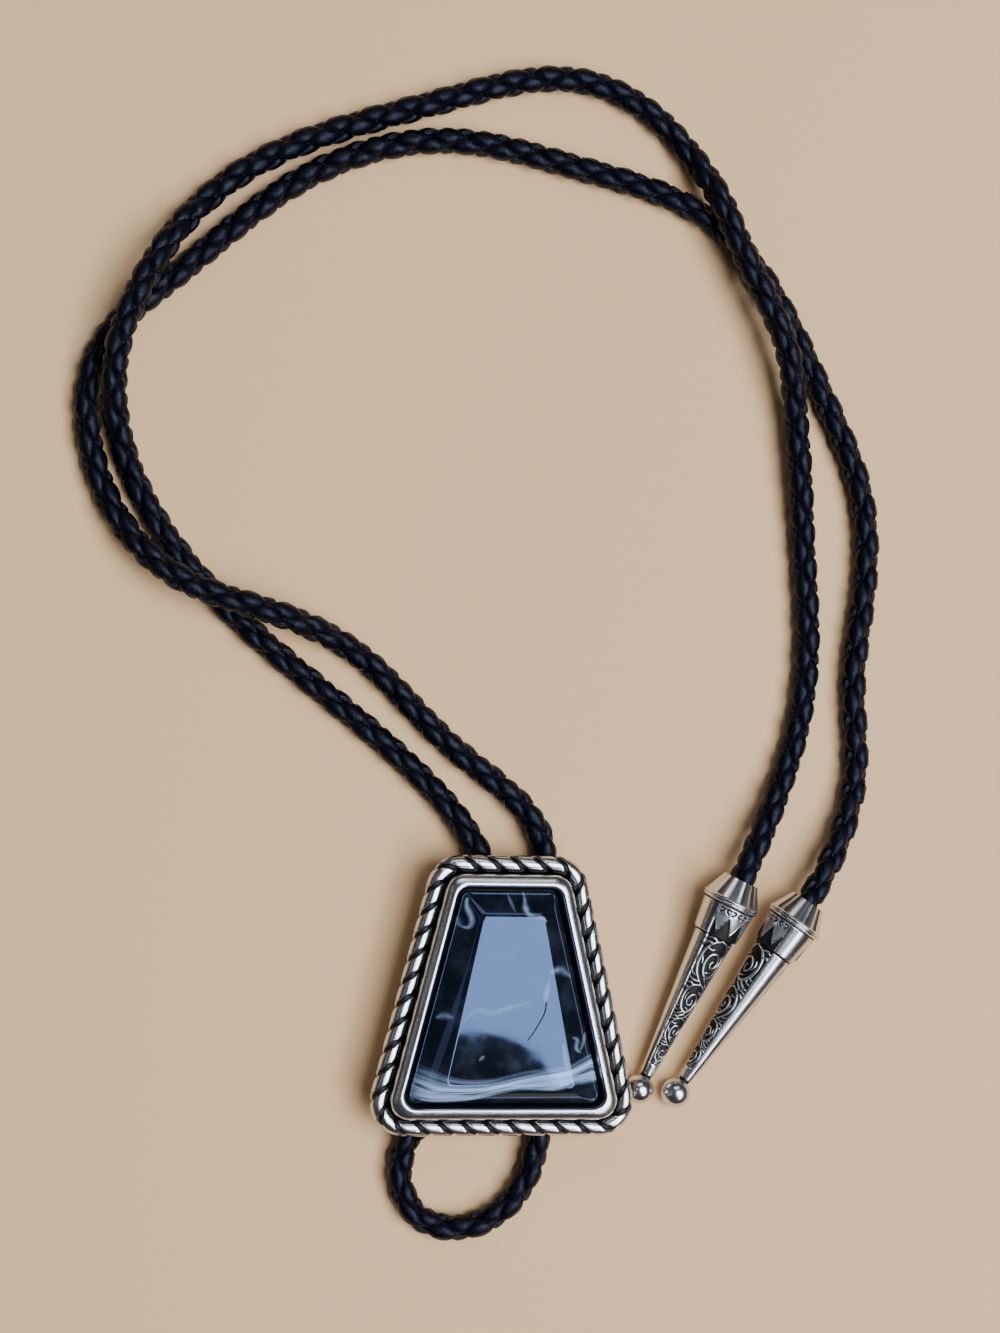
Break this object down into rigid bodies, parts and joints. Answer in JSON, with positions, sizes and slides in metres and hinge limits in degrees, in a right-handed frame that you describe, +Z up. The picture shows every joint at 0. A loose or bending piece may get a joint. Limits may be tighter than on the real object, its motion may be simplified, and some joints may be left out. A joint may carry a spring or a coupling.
{
  "type": "bolo tie",
  "caption": "Bolo tie: a silver slide with a rope border and a cut black banded stone on a round braided leather cord, with engraved taper tips that end in balls.",
  "frame": {"origin": "on the surface that the tie lies on, under the middle of the slide, on the clip's flat underside", "axes": "+Z up from the surface, out through the stone's table; +Y up the slide towards its narrow end; +X to the side on which the tips lie"},
  "size_m": [0.1383, 0.1985, 0.0125],
  "materials": {
    "antique_silver": "polished silver with black patina in the grooves",
    "banded_stone": "polished black agate with pale blue-grey bands",
    "clip_steel": "plain sheet, satin",
    "braided_leather": "glossy black four-strand round braid"
  },
  "bodies": {
    "root": {"slide_frame": "antique_silver", "stone": "banded_stone", "cord_clip": "clip_steel", "tip_left": "antique_silver", "tip_right": "antique_silver", "cord": "braided_leather"}
  },
  "joints": []
}
